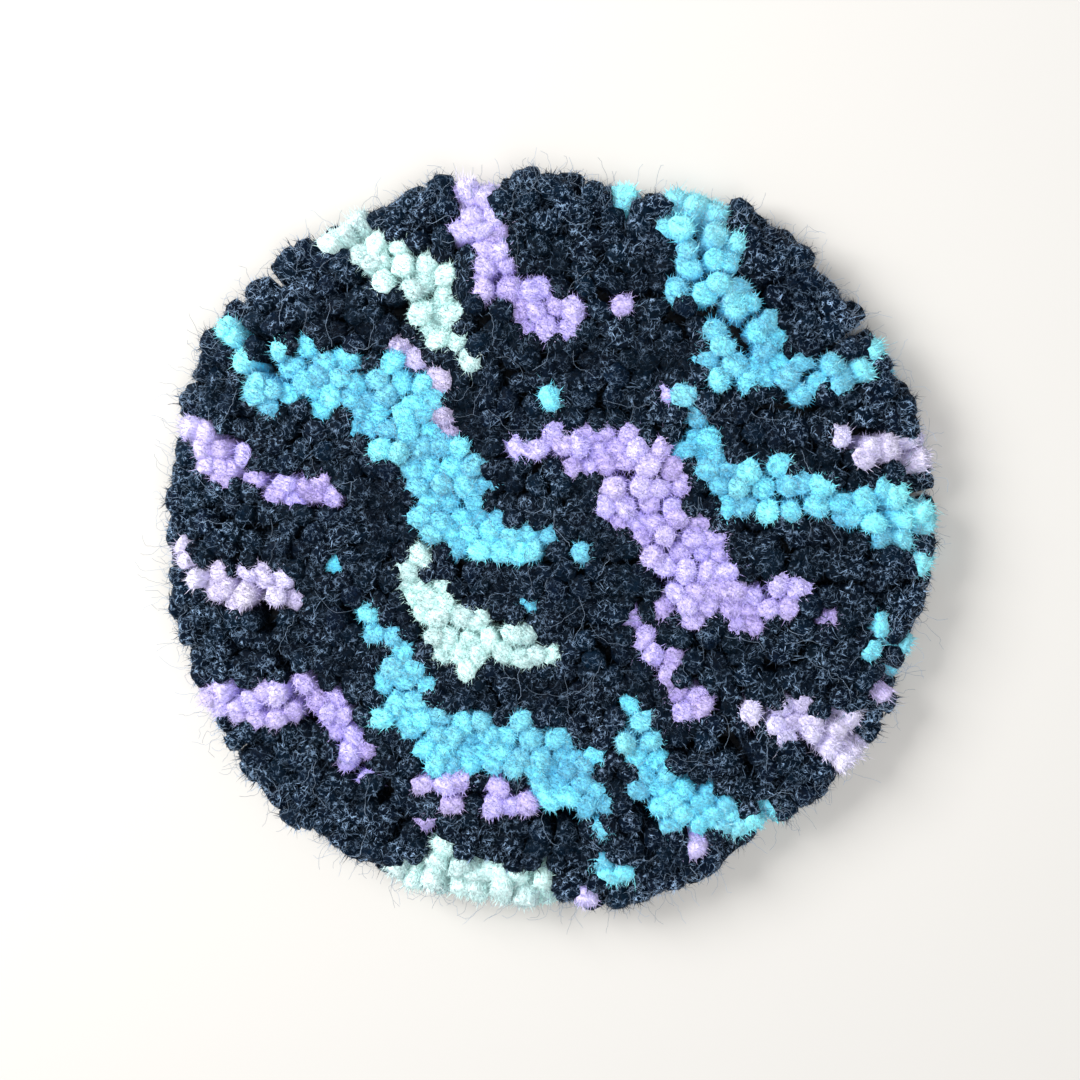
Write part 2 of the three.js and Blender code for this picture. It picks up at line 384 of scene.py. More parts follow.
def fray_tree(sprung):
    """One upright yarn end: a lumpy drop-shaped body, its close nap, and loose and curly fibres over it."""
    tree, given = new_tree(
        "fray a yarn end", Length="Float", Radius="Float", Body_share="Float", Crown_share="Float",
        Lowest="Float", Nap_density="Float", Loose_density="Float", Curly_density="Float", Seed="Int",
    )
    body_top = add(tree, "ShaderNodeMath", {0: given["Length"], 1: given["Body share"]}, operation="MULTIPLY")
    crown = add(tree, "ShaderNodeMath", {0: given["Radius"], 1: given["Crown share"]}, operation="MULTIPLY")
    shoulder = add(tree, "ShaderNodeMath", {0: body_top, 1: crown}, operation="SUBTRACT")
    ball = add(tree, "GeometryNodeMeshUVSphere", {
        "Segments": BODY_SEGMENTS, "Rings": BODY_RINGS, "Radius": given["Radius"],
    })
    split = add(tree, "ShaderNodeSeparateXYZ", {0: add(tree, "GeometryNodeInputPosition")})
    above = add(tree, "ShaderNodeMath", {0: split.outputs["Z"], 1: 0.0}, operation="MAXIMUM")
    below = add(tree, "ShaderNodeMath", {0: split.outputs["Z"], 1: 0.0}, operation="MINIMUM")
    crowned = add(tree, "ShaderNodeMath", {0: above, 1: given["Crown share"]}, operation="MULTIPLY")
    stretch = add(tree, "ShaderNodeMath", {0: shoulder, 1: given["Radius"]}, operation="DIVIDE")
    long_below = add(tree, "ShaderNodeMath", {0: below, 1: stretch, 2: shoulder}, operation="MULTIPLY_ADD")
    rise = add(tree, "ShaderNodeMath", {0: crowned, 1: long_below}, operation="ADD")
    drop_place = add(tree, "ShaderNodeCombineXYZ", {
        "X": split.outputs["X"], "Y": split.outputs["Y"], "Z": rise,
    })
    drop = add(tree, "GeometryNodeSetPosition", {"Geometry": ball, "Position": drop_place})
    lumps = add(tree, "ShaderNodeTexNoise", {
        "W": given["Seed"], "Scale": 1 / LUMP_SIZE, "Detail": 1.0,
    }, noise_dimensions="4D")
    centred = add(tree, "ShaderNodeVectorMath", {
        0: lumps.outputs["Color"], 1: (0.5, 0.5, 0.5),
    }, operation="SUBTRACT")
    lump = add(tree, "ShaderNodeVectorMath", {0: centred, "Scale": LUMP_RELIEF}, operation="SCALE")
    body = add(tree, "GeometryNodeSetPosition", {"Geometry": drop, "Offset": lump})
    smooth = add(tree, "GeometryNodeSetShadeSmooth", {"Geometry": body})
    joined = add(tree, "GeometryNodeJoinGeometry")
    tree.links.new(smooth.outputs[0], joined.inputs[0])
    for sort, looks in FIBRE_LOOKS.items():
        fibres = add(tree, "GeometryNodeGroup", {
            "Surface": body, "Lowest": given["Lowest"], "Density": given[f"{sort} density"],
            "Seed": given["Seed"], **looks,
        }, node_tree=sprung)
        faceted = add(tree, "GeometryNodeSetShadeSmooth", {"Geometry": fibres, "Shade Smooth": False})
        tree.links.new(faceted.outputs[0], joined.inputs[0])
    followed = add(tree, "GeometryNodeStoreNamedAttribute", {
        "Geometry": joined, "Name": "yarn_place", "Value": add(tree, "GeometryNodeInputPosition"),
    }, data_type="FLOAT_VECTOR", domain="POINT")
    add(tree, "NodeGroupOutput", {0: followed})
    return tree


def plant_tree():
    """Stands a yarn end on each point, then bends it outwards from the root up, as its neighbours push it."""
    tree, given = new_tree(
        "plant the yarn ends", Geometry="Geometry", Yarn_ends="Collection", Length="Float",
        Floor="Float", Material="Material",
    )
    stored = {}
    for name, kind in {
        "root": "FLOAT_VECTOR", "turn": "FLOAT", "size": "FLOAT_VECTOR", "variant": "INT", "shelter": "FLOAT",
        "outward": "FLOAT_VECTOR", "tilt": "FLOAT", "bend": "FLOAT", "height": "FLOAT",
    }.items():
        stored[name] = add(tree, "GeometryNodeInputNamedAttribute", {"Name": name}, data_type=kind)
    rooted = add(tree, "GeometryNodeStoreNamedAttribute", {
        "Geometry": given["Geometry"], "Name": "root", "Value": add(tree, "GeometryNodeInputPosition"),
    }, data_type="FLOAT_VECTOR", domain="POINT")
    ends = add(tree, "GeometryNodeCollectionInfo", {
        "Collection": given["Yarn ends"], "Separate Children": True, "Reset Children": True,
    })
    turned = add(tree, "ShaderNodeCombineXYZ", {"Z": stored["turn"]})
    standing = add(tree, "GeometryNodeInstanceOnPoints", {
        "Points": rooted, "Instance": ends, "Pick Instance": True, "Instance Index": stored["variant"],
        "Rotation": turned, "Scale": stored["size"],
    })
    upright = add(tree, "GeometryNodeRealizeInstances", {"Geometry": standing})
    local = add(tree, "ShaderNodeVectorMath", {
        0: add(tree, "GeometryNodeInputPosition"), 1: stored["root"],
    }, operation="SUBTRACT")
    local_parts = add(tree, "ShaderNodeSeparateXYZ", {0: local}).outputs
    share = add(tree, "ShaderNodeMath", {0: local_parts["Z"], 1: given["Length"]}, operation="DIVIDE")
    measured = add(tree, "GeometryNodeStoreNamedAttribute", {
        "Geometry": upright, "Name": "height", "Value": share,
    }, data_type="FLOAT", domain="POINT")
    # Painted shade: how far below the cut a point lies, times how much its neighbours shade its end, darkens
    # its colour.
    below_cut = add(tree, "ShaderNodeMath", {0: 1.0, 1: share}, operation="SUBTRACT")
    painted_shade_amount = add(tree, "ShaderNodeMath", {0: below_cut, 1: stored["shelter"]}, operation="MULTIPLY")
    shaded = add(tree, "GeometryNodeStoreNamedAttribute", {
        "Geometry": measured, "Name": "depth", "Value": painted_shade_amount,
    }, data_type="FLOAT", domain="POINT")

    bend, tilt, outward = stored["bend"], stored["tilt"], stored["outward"]
    hinge = add(tree, "ShaderNodeVectorMath", {0: (0.0, 0.0, 1.0), 1: outward}, operation="CROSS_PRODUCT")
    curve_radius = add(tree, "ShaderNodeMath", {0: given["Length"], 1: bend}, operation="DIVIDE")
    to_centre = add(tree, "ShaderNodeVectorMath", {0: outward, "Scale": curve_radius}, operation="SCALE")
    angle = add(tree, "ShaderNodeMath", {
        0: stored["height"], 1: bend, 2: tilt,
    }, operation="MULTIPLY_ADD")
    flat_local = add(tree, "ShaderNodeCombineXYZ", {"X": local_parts["X"], "Y": local_parts["Y"]})
    from_centre = add(tree, "ShaderNodeVectorMath", {0: flat_local, 1: to_centre}, operation="SUBTRACT")
    swung = add(tree, "ShaderNodeVectorRotate", {
        "Vector": from_centre, "Axis": hinge, "Angle": angle,
    }, rotation_type="AXIS_ANGLE")
    centre = add(tree, "ShaderNodeVectorRotate", {
        "Vector": to_centre, "Axis": hinge, "Angle": tilt,
    }, rotation_type="AXIS_ANGLE")
    bent = add(tree, "ShaderNodeVectorMath", {0: swung, 1: centre}, operation="ADD")
    placed = add(tree, "ShaderNodeVectorMath", {0: bent, 1: stored["root"]}, operation="ADD")
    placed_parts = add(tree, "ShaderNodeSeparateXYZ", {0: placed}).outputs
    resting = add(tree, "ShaderNodeMath", {0: placed_parts["Z"], 1: given["Floor"]}, operation="MAXIMUM")
    final_place = add(tree, "ShaderNodeCombineXYZ", {
        "X": placed_parts["X"], "Y": placed_parts["Y"], "Z": resting,
    })
    leaning = add(tree, "GeometryNodeSetPosition", {"Geometry": shaded, "Position": final_place})
    dyed = add(tree, "GeometryNodeSetMaterial", {"Geometry": leaning, "Material": given["Material"]})
    add(tree, "NodeGroupOutput", {0: dyed})
    return tree


# Each kind of yarn end: from what share of its length it is frayed, and how many fibres it has for each
# square millimetre. The lower down an end shows, the further down it is frayed. Loose and curly fibres show
# up on dark yarn, and the close nap on light yarn.
YARN_END_KINDS = [
    {"name": "dark field", "variants": 6, "frayed_from": 0.78, "Nap": 0.4, "Loose": 0.56, "Curly": 0.08},
    {"name": "dark shoulder", "variants": 5, "frayed_from": 0.6, "Nap": 0.35, "Loose": 0.5, "Curly": 0.07},
    {"name": "dark rim", "variants": 6, "frayed_from": 0.35, "Nap": 0.15, "Loose": 0.5, "Curly": 0.07},
    {"name": "light field", "variants": 6, "frayed_from": 0.78, "Nap": 1.9, "Loose": 0.3, "Curly": 0.02},
    {"name": "light shoulder", "variants": 5, "frayed_from": 0.6, "Nap": 1.3, "Loose": 0.2, "Curly": 0.02},
    {"name": "light rim", "variants": 6, "frayed_from": 0.35, "Nap": 0.85, "Loose": 0.2, "Curly": 0.02},
]

fray = fray_tree(sprung_tree())
yarn_ends = bpy.data.collections.new("yarn ends")
first_variant = {}
for kind in YARN_END_KINDS:
    first_variant[kind["name"]] = len(yarn_ends.objects)
    for number in range(kind["variants"]):
        order = len(yarn_ends.objects)
        end = shaped(new_mesh_object(f"yarn_end_{order:02d}", [], []), fray, {
            "Length": YARN_LENGTH,
            "Radius": YARN_RADIUS,
            "Body share": BODY_SHARE,
            "Crown share": CROWN_SHARE,
            "Lowest": kind["frayed_from"] * YARN_LENGTH,
            **{f"{sort} density": kind[sort] / MM ** 2 for sort in FIBRE_LOOKS},
            "Seed": FIRST_SEED + order,
        })
        yarn_ends.objects.link(end)
        bpy.context.scene.collection.objects.unlink(end)

# Pile
# All the yarn ends, crowding each other into a level pile. They stand 4.9 mm apart in staggered rows, and six
# rounds of them follow the edge of the cloth, where nothing holds them upright, so they lean outwards. They
# are instances, realized as joined meshes of one yarn each.
ROW_SPACING = 4.9 * MM
ROOT_HEIGHT = 2.0 * MM
FLOOR_CLEARANCE = 0.3 * MM

# From the edge of the cloth inwards. inside and apart are in mm, tilt and bend in degrees, long is a share of
# the full length, and shelter is how much the neighbours shade an end, from 0 to 1, painted into its colour.
RIM_ROUNDS = [
    {"zone": "rim", "inside": 0.6, "apart": 5.2, "tilt": 55, "bend": 48, "long": 0.72, "shelter": 0.3},
    {"zone": "rim", "inside": 2.6, "apart": 4.2, "tilt": 32, "bend": 40, "long": 1.0, "shelter": 0.3},
    {"zone": "rim", "inside": 6.0, "apart": 4.4, "tilt": 23, "bend": 30, "long": 1.0, "shelter": 0.5},
    {"zone": "shoulder", "inside": 9.4, "apart": 4.6, "tilt": 16, "bend": 21, "long": 1.0, "shelter": 0.7},
    {"zone": "shoulder", "inside": 12.8, "apart": 4.7, "tilt": 11, "bend": 14, "long": 1.0, "shelter": 0.85},
    {"zone": "field", "inside": 16.4, "apart": 4.8, "tilt": 7, "bend": 9, "long": 1.0, "shelter": 1.0},
]
FIELD_INSIDE = 18.6 * MM  # the rows stop this far inside the cloth's edge
LEAN_FROM = 34 * MM  # their ends start to lean outwards this far inside it
FIELD_TILT = 4
FIELD_BEND = 6
RESTLESS_TILT = 6
CLUMP_RISE = 1.1 * MM  # how far the pile's surface wavers up or down
CLUMP_TILT = 7  # the ends lean off the high places of the pile

# Long low waves in the pile's surface: length in mm, heading in degrees, phase in radians.
SURFACE_WAVES = [
    {"length": 26, "heading": 18, "phase": 0.4},
    {"length": 21, "heading": 84, "phase": 2.1},
    {"length": 18, "heading": 143, "phase": 4.4},
]
PLACE_JITTER = 0.55 * MM
RIM_SPACING_JITTER = 0.16  # as a share of the spacing
RIM_RADIUS_JITTER = 0.8  # mm
RIM_TILT_RANGE = (0.7, 1.3)
RIM_BEND_RANGE = (0.6, 1.4)
HEADING_JITTER = 0.18  # radians
BEND_JITTER = 5
LEAST_BEND = 1.0  # an end is always bent a little, because the bend's radius is worked out from it
LENGTH_JITTER = 0.03
THICKNESS_RANGE = (0.93, 1.10)
OVAL_RANGE = (0.86, 1.0)  # how far the neighbours press an end out of the round

# The stripes slant down to the right and waver. across is a stripe's distance from the middle, start and
# stop are along it, all in mm.
STRIPES = [
    {"yarn": "turquoise", "across": 74, "start": -34, "stop": 46, "width": 15},
    {"yarn": "lilac", "across": 54, "start": -78, "stop": -16, "width": 12},
    {"yarn": "pale_lilac", "across": 62, "start": 34, "stop": 62, "width": 8},
    {"yarn": "turquoise", "across": 49, "start": -2, "stop": 78, "width": 13},
    {"yarn": "mint", "across": 30, "start": -88, "stop": -36, "width": 12},
    {"yarn": "lilac", "across": 24, "start": -22, "stop": 66, "width": 20},
    {"yarn": "turquoise", "across": 27, "start": 70, "stop": 92, "width": 10},
    {"yarn": "turquoise", "across": 2, "start": -94, "stop": 10, "width": 20},
    {"yarn": "pale_lilac", "across": 13, "start": -60, "stop": -28, "width": 6},
    {"yarn": "lilac", "across": 0, "start": 22, "stop": 62, "width": 8},
    {"yarn": "pale_lilac", "across": 0, "start": 62, "stop": 94, "width": 10},
    {"yarn": "lilac", "across": -22, "start": -90, "stop": -46, "width": 11},
    {"yarn": "mint", "across": -23, "start": -32, "stop": 24, "width": 14},
    {"yarn": "turquoise", "across": -22, "start": 36, "stop": 90, "width": 15},
    {"yarn": "pale_lilac", "across": -47, "start": -76, "stop": -38, "width": 8},
    {"yarn": "turquoise", "across": -47, "start": -28, "stop": 66, "width": 18},
    {"yarn": "lilac", "across": -57, "start": 4, "stop": 38, "width": 7},
    {"yarn": "lilac", "across": -72, "start": -52, "stop": 4, "width": 13},
    {"yarn": "mint", "across": -75, "start": 14, "stop": 54, "width": 12},
]
STRIPE_SLANT = math.radians(-36)
STRIPE_WAVE = 6.5
STRIPE_WAVE_LENGTH = 66
STRIPE_WAVE_SHIFT = 0.044  # radians for each mm across
STRIPE_SWELL_LENGTH = 23  # a stripe gets wider and narrower at this pace
MEAN_SWELL = 0.92
STRIPE_SWELL = 0.2
STRIPE_RAGGEDNESS = 1.6
STRIPE_FULLNESS = 4.4  # how soon a stripe reaches its full width
STRIPE_BLUNTNESS = 0.7
BROKEN_BELOW = 0.65  # towards its points, below this share of its width, a stripe has black ends in it
BROKEN_SHARE = 0.25
FLECK_SHARE = 0.008
FLECKS = ["pale_lilac", "turquoise", "lilac"]


def yarn_at(x, y, chance):
    """The yarn that the tufter uses at a root, by the stripe that it falls in."""
    along = (x * math.cos(STRIPE_SLANT) + y * math.sin(STRIPE_SLANT)) / MM
    across = (y * math.cos(STRIPE_SLANT) - x * math.sin(STRIPE_SLANT)) / MM
    for stripe in STRIPES:
        share = (along - stripe["start"]) / (stripe["stop"] - stripe["start"])
        if not 0 <= share <= 1:
            continue
        taper = min(1.0, STRIPE_FULLNESS * share * (1 - share)) ** STRIPE_BLUNTNESS
        turn = 2 * math.pi * along / STRIPE_WAVE_LENGTH + STRIPE_WAVE_SHIFT * stripe["across"]
        middle = stripe["across"] + STRIPE_WAVE * math.sin(turn)
        swell = math.sin(2 * math.pi * along / STRIPE_SWELL_LENGTH + stripe["across"])
        ragged = chance.uniform(-STRIPE_RAGGEDNESS, STRIPE_RAGGEDNESS)
        half_width = stripe["width"] / 2 * taper * (MEAN_SWELL + STRIPE_SWELL * swell) + ragged
        broken = taper < BROKEN_BELOW and chance.random() < BROKEN_SHARE
        if abs(across - middle) < half_width and not broken:
            return stripe["yarn"]
    return chance.choice(FLECKS) if chance.random() < FLECK_SHARE else "black"


def clump(x, y):
    """The pile's waver at a root, from -1 to 1, and the way down from there."""
    waver, down = 0.0, Vector((0, 0))
    for wave in SURFACE_WAVES:
        heading = Vector((math.cos(math.radians(wave["heading"])), math.sin(math.radians(wave["heading"]))))
        turn = 2 * math.pi * heading.dot((x / MM, y / MM)) / wave["length"] + wave["phase"]
        waver += math.sin(turn) / len(SURFACE_WAVES)
        down -= heading * math.cos(turn) / len(SURFACE_WAVES)
    return waver, down


def planted_end(x, y, yarn, zone, tilt, bend, long, shelter, chance):
    """One yarn end's root, lean and looks. tilt is at its root, bend is what its length adds, in degrees."""
    outward_angle = math.atan2(y, x) + chance.gauss(0, HEADING_JITTER)
    waver, down = clump(x, y)
    restless_angle = chance.uniform(0, 2 * math.pi)
    restless = Vector((math.cos(restless_angle), math.sin(restless_angle))) * chance.uniform(0, RESTLESS_TILT)
    lean = Vector((math.cos(outward_angle), math.sin(outward_angle))) * tilt + down * CLUMP_TILT + restless
    kind = ("dark " if yarn == "black" else "light ") + zone
    variants = next(k["variants"] for k in YARN_END_KINDS if k["name"] == kind)
    thick = chance.uniform(*THICKNESS_RANGE)
    oval = chance.uniform(*OVAL_RANGE)
    return {
        "place": (x, y, ROOT_HEIGHT),
        "outward": (*lean.normalized(), 0.0),
        "tilt": math.radians(lean.length),
        "bend": math.radians(max(LEAST_BEND, bend + chance.uniform(-BEND_JITTER, BEND_JITTER))),
        "turn": chance.uniform(0, 2 * math.pi),
        "size": (
            thick / oval,
            thick * oval,
            long + waver * CLUMP_RISE / YARN_LENGTH + chance.gauss(0, LENGTH_JITTER),
        ),
        "variant": first_variant[kind] + chance.randrange(variants),
        "tone": chance.random(),
        "shelter": shelter,
    }


def planned_pile():
    """All yarn ends, keyed by yarn."""
    chance = random.Random(27)
    ends = {}

    def plant(x, y, *lean):
        yarn = yarn_at(x, y, chance)
        ends.setdefault(yarn, []).append(planted_end(x, y, yarn, *lean, chance))

    for rim_round in RIM_ROUNDS:
        mean_radius = CLOTH_RADIUS - rim_round["inside"] * MM
        count = round(2 * math.pi * mean_radius / (rim_round["apart"] * MM))
        for number in range(count):
            aside = chance.uniform(-RIM_SPACING_JITTER, RIM_SPACING_JITTER)
            angle = 2 * math.pi * (number + aside) / count
            away = chance.uniform(-RIM_RADIUS_JITTER, RIM_RADIUS_JITTER) * MM
            radius = mean_radius + outline_swell(angle) + away
            plant(
                radius * math.cos(angle), radius * math.sin(angle), rim_round["zone"],
                rim_round["tilt"] * chance.uniform(*RIM_TILT_RANGE),
                rim_round["bend"] * chance.uniform(*RIM_BEND_RANGE),
                rim_round["long"], rim_round["shelter"],
            )
    rows = int(CLOTH_RADIUS / (ROW_SPACING * math.sqrt(3) / 2)) + 2
    for row in range(-rows, rows + 1):
        for place in range(-rows, rows + 1):
            x = (place + 0.5 * (row % 2)) * ROW_SPACING + chance.uniform(-PLACE_JITTER, PLACE_JITTER)
            y = row * ROW_SPACING * math.sqrt(3) / 2 + chance.uniform(-PLACE_JITTER, PLACE_JITTER)
            edge = CLOTH_RADIUS + outline_swell(math.atan2(y, x))
            inside = edge - math.hypot(x, y)
            if inside > FIELD_INSIDE:
                lean = max(0.0, (LEAN_FROM - inside) / (LEAN_FROM - FIELD_INSIDE))
                plant(x, y, "field", FIELD_TILT * lean, FIELD_BEND * lean, 1.0, 1.0)
    return ends


def point_mesh(name, points):
    """An object with a vertex for each of the points, which carries all else that is known of the point."""
    made = new_mesh_object(name, [point["place"] for point in points], [])
    for attribute in sorted(points[0].keys() - {"place"}):
        kind = {tuple: "FLOAT_VECTOR", int: "INT", float: "FLOAT"}[type(points[0][attribute])]
        layer = made.data.attributes.new(attribute, kind, "POINT")
        values = np.array([point[attribute] for point in points]).ravel()
        layer.data.foreach_set("vector" if kind == "FLOAT_VECTOR" else "value", values)
    return made


# Streaks of fibres on the yarn, 0.6 mm wide and 2.4 mm long. Real ones are finer and would not show.
STREAKS_PER_METRE = (1 / (0.6 * MM), 1 / (0.6 * MM), 1 / (2.4 * MM))
GLINT_PATCH_SIZE = 9 * MM  # painted glints are stronger in some patches of this size than in others
TANGLE_SIZE = 2.1 * MM  # of the loops in which fibres wind about on the cut ends
GLINT_SIZE = 1.4 * MM  # of the stretches of a fibre that get a painted glint
FLUFF_RELIEF = 0.5 * MM
PAINTED_SIDE_SHADE_DEPTH = 0.13  # how far below the cut the yarn has its painted side shade, as a share of its length
GLINT_FULL_DEPTH = 0.12  # the painted glints show in full down to here
GLINT_DIM_DEPTH = 0.22  # from here down they are dimmed to a fifth, as the painted shade deepens
LINE_WIDTH = 0.02  # of a winding fibre, as a difference of the noise from its middle value


def acrylic_yarn(look):
    """Cut acrylic yarn: soft and matt. Its colour has painted shade, deeper between the ends and paler at the
    cut, and painted glints where fibres part.
    """
    material, tree = new_material(f"acrylic yarn, {look['yarn']}")
    place = add(tree, "ShaderNodeTexCoord").outputs["Object"]
    depth = add(tree, "ShaderNodeAttribute", attribute_name="depth").outputs["Fac"]
    tone = add(tree, "ShaderNodeAttribute", attribute_name="tone").outputs["Fac"]
    shelter = add(tree, "ShaderNodeAttribute", attribute_name="shelter").outputs["Fac"]
    fibre_tone = add(tree, "ShaderNodeAttribute", attribute_name="fibre_tone").outputs["Fac"]
    along = add(tree, "ShaderNodeAttribute", attribute_name="along").outputs["Fac"]
    yarn_place = add(tree, "ShaderNodeAttribute", attribute_name="yarn_place").outputs["Vector"]
    # Painted shade: the colour darkens from the cut ends, down their sides, into the crevices between them.
    painted_shade_ramp = add(tree, "ShaderNodeValToRGB", {"Fac": depth})
    stops = painted_shade_ramp.color_ramp.elements
    stops[0].position, stops[0].color = 0.0, linear(look["cut"])
    stops[1].position, stops[1].color = look["deepest"], linear(look["painted_crevice_shade"])
    middle = stops.new(PAINTED_SIDE_SHADE_DEPTH)
    middle.color = linear(look["painted_side_shade"])
    brightness = add(tree, "ShaderNodeMapRange", {"Value": tone, "To Min": 0.84, "To Max": 1.12})
    hue = add(tree, "ShaderNodeMapRange", {"Value": tone, "To Min": 0.508, "To Max": 0.49})
    dyed = add(tree, "ShaderNodeHueSaturation", {"Color": painted_shade_ramp, "Value": brightness, "Hue": hue})
    drawn_out = add(tree, "ShaderNodeMapping", {"Vector": yarn_place, "Scale": STREAKS_PER_METRE})
    streaks = add(tree, "ShaderNodeTexNoise", {"Vector": drawn_out, "Scale": 1.0, "Detail": 2.0})
    streak_shade = add(tree, "ShaderNodeMapRange", {
        "Value": streaks, "From Min": 0.3, "From Max": 0.7,
        "To Min": 1 - look["contrast"], "To Max": 1 + look["contrast"],
    })
    streaky = add(tree, "ShaderNodeHueSaturation", {"Color": dyed, "Value": streak_shade})
    # Painted glints: a pale colour on the tips of some loose fibres and along tangle lines, stronger in
    # patches.
    patches = add(tree, "ShaderNodeTexNoise", {"Vector": place, "Scale": 1 / GLINT_PATCH_SIZE, "Detail": 2.0})
    glint_patches = add(tree, "ShaderNodeMapRange", {
        "Value": patches, "From Min": 0.38, "From Max": 0.62, "To Min": 0.3,
    })
    loose = add(tree, "ShaderNodeMapRange", {
        "Value": fibre_tone, "From Min": 1 - look["painted_glint_share"], "From Max": 1.0,
    })
    few_bright = add(tree, "ShaderNodeMath", {0: loose, 1: 1.6}, operation="POWER")
    above_root = add(tree, "ShaderNodeMapRange", {"Value": along, "From Max": 0.5})
    glinting_loose_tip = add(tree, "ShaderNodeMath", {0: few_bright, 1: above_root}, operation="MULTIPLY")

    # The lines along which a smooth noise passes its middle value wind about as tangled fibres do. Where the
    # glint noise is high, they get a painted glint.
    winding = add(tree, "ShaderNodeTexNoise", {"Vector": place, "Scale": 1 / TANGLE_SIZE, "Detail": 1.5})
    off_line = add(tree, "ShaderNodeVectorMath", {
        0: winding.outputs["Color"], 1: (0.5, 0.5, 0.5),
    }, operation="SUBTRACT")
    off_lines = add(tree, "ShaderNodeSeparateXYZ", {
        0: add(tree, "ShaderNodeVectorMath", {0: off_line}, operation="ABSOLUTE"),
    }).outputs
    nearer = add(tree, "ShaderNodeMath", {0: off_lines["X"], 1: off_lines["Y"]}, operation="MINIMUM")
    nearest = add(tree, "ShaderNodeMath", {0: nearer, 1: off_lines["Z"]}, operation="MINIMUM")
    lines = add(tree, "ShaderNodeMapRange", {
        "Value": nearest, "From Max": LINE_WIDTH, "To Min": 1.0, "To Max": 0.0,
    })
    glints = add(tree, "ShaderNodeTexNoise", {"Vector": place, "Scale": 1 / GLINT_SIZE, "Detail": 1.0})
    lit = add(tree, "ShaderNodeMapRange", {"Value": glints, "From Min": 0.42, "From Max": 0.66})
    lit_lines = add(tree, "ShaderNodeMath", {0: lines, 1: lit}, operation="MULTIPLY")
    glinting_tangle = add(tree, "ShaderNodeMath", {0: lit_lines, 1: look["tangle_glint"]}, operation="MULTIPLY")
    pale = add(tree, "ShaderNodeMath", {0: glinting_loose_tip, 1: glinting_tangle}, operation="MAXIMUM")
    # Painted glints are stronger on the rim ends, which their neighbours shade less, and weaker down in the
    # painted shade.
    rim_glint_boost = add(tree, "ShaderNodeMapRange", {
        "Value": shelter, "From Min": 0.3, "To Min": 1.6, "To Max": 1.0,
    })
    glint_near_cut = add(tree, "ShaderNodeMapRange", {
        "Value": depth, "From Min": GLINT_FULL_DEPTH, "From Max": GLINT_DIM_DEPTH, "To Min": 1.0, "To Max": 0.2,
    })
    exposed = add(tree, "ShaderNodeMath", {0: glint_near_cut, 1: rim_glint_boost}, operation="MULTIPLY")
    glint_here = add(tree, "ShaderNodeMath", {0: pale, 1: glint_patches}, operation="MULTIPLY")
    painted_glint_here = add(tree, "ShaderNodeMath", {0: glint_here, 1: exposed}, operation="MULTIPLY")
    # The painted glint colour is mixed into the yarn's colour here.
    with_painted_glints = add(tree, "ShaderNodeMix", {
        "Factor": painted_glint_here, "A": streaky, "B": linear(look["painted_glint"]),
    }, data_type="RGBA")
    relief = add(tree, "ShaderNodeMath", {0: streaks, 1: lines}, operation="ADD")
    bump = add(tree, "ShaderNodeBump", {
        "Height": relief, "Strength": look["fluff"], "Distance": FLUFF_RELIEF,
    })
    surface = add(tree, "ShaderNodeBsdfPrincipled", {
        "Base Color": with_painted_glints, "Roughness": 0.6, "Specular IOR Level": look["gloss"],
        "Sheen Weight": look["sheen"], "Sheen Roughness": 0.45, "Normal": bump,
    })
    lit_through = add(tree, "ShaderNodeBsdfTranslucent", {"Color": with_painted_glints, "Normal": bump})
    fibre = add(tree, "ShaderNodeMixShader", {"Fac": look["clear"], 1: surface, 2: lit_through})
    add(tree, "ShaderNodeOutputMaterial", {"Surface": fibre})
    return material


# Dyed yarns. cut is a yarn's colour at the cut ends, and painted_side_shade and painted_crevice_shade
# are its colours under painted shade, further down in the pile. deepest is how far below the cut the painted
# shade is darkest, as a share of its length. painted_glint is the pale colour of the glints painted on its
# loosest fibres, painted_glint_share is how many of them have it, and tangle_glint is how strongly the
# painted glint shows where they wind about. contrast is that of the streaks, fluff is how rough the yarn is
# to the light, and clear is the share of the light that goes through it. pieces is how many joined meshes its
# ends are shared out to, by their place.
LIGHT_YARN = {
    "pieces": 1, "deepest": 0.3, "painted_glint_share": 0.3, "contrast": 0.26, "fluff": 0.62, "tangle_glint": 0.5,
    "clear": 0.1, "sheen": 0.2, "gloss": 0.1,
}
YARNS = [
    # The black's blue cast is partly the yarn's own tint and partly painted cool window light.
    {
        "yarn": "black", "painted_crevice_shade": "#00050E", "painted_side_shade": "#000A17", "cut": "#021326", "painted_glint": "#A6C6EA",
        "pieces": 4, "deepest": 0.36, "painted_glint_share": 0.6, "contrast": 0.5, "fluff": 0.5, "tangle_glint": 0.76,
        "clear": 0.0, "sheen": 0.0, "gloss": 0.06,
    },
    {
        **LIGHT_YARN, "yarn": "turquoise", "pieces": 2,
        "painted_crevice_shade": "#4ABBE4", "painted_side_shade": "#78DAF6", "cut": "#9BF8FF", "painted_glint": "#C8FAFD",
    },
    {
        **LIGHT_YARN, "yarn": "lilac",
        "painted_crevice_shade": "#A494E4", "painted_side_shade": "#C9BCF8", "cut": "#E0D6FF", "painted_glint": "#EEE5FD",
    },
    {
        **LIGHT_YARN, "yarn": "mint",
        "painted_crevice_shade": "#B2DEDD", "painted_side_shade": "#D2F6F4", "cut": "#E6FFFD", "painted_glint": "#F0FCFB",
    },
    {
        **LIGHT_YARN, "yarn": "pale_lilac",
        "painted_crevice_shade": "#B4AADC", "painted_side_shade": "#D8D0F4", "cut": "#EBE5FC", "painted_glint": "#F6F3FD",
    },
]

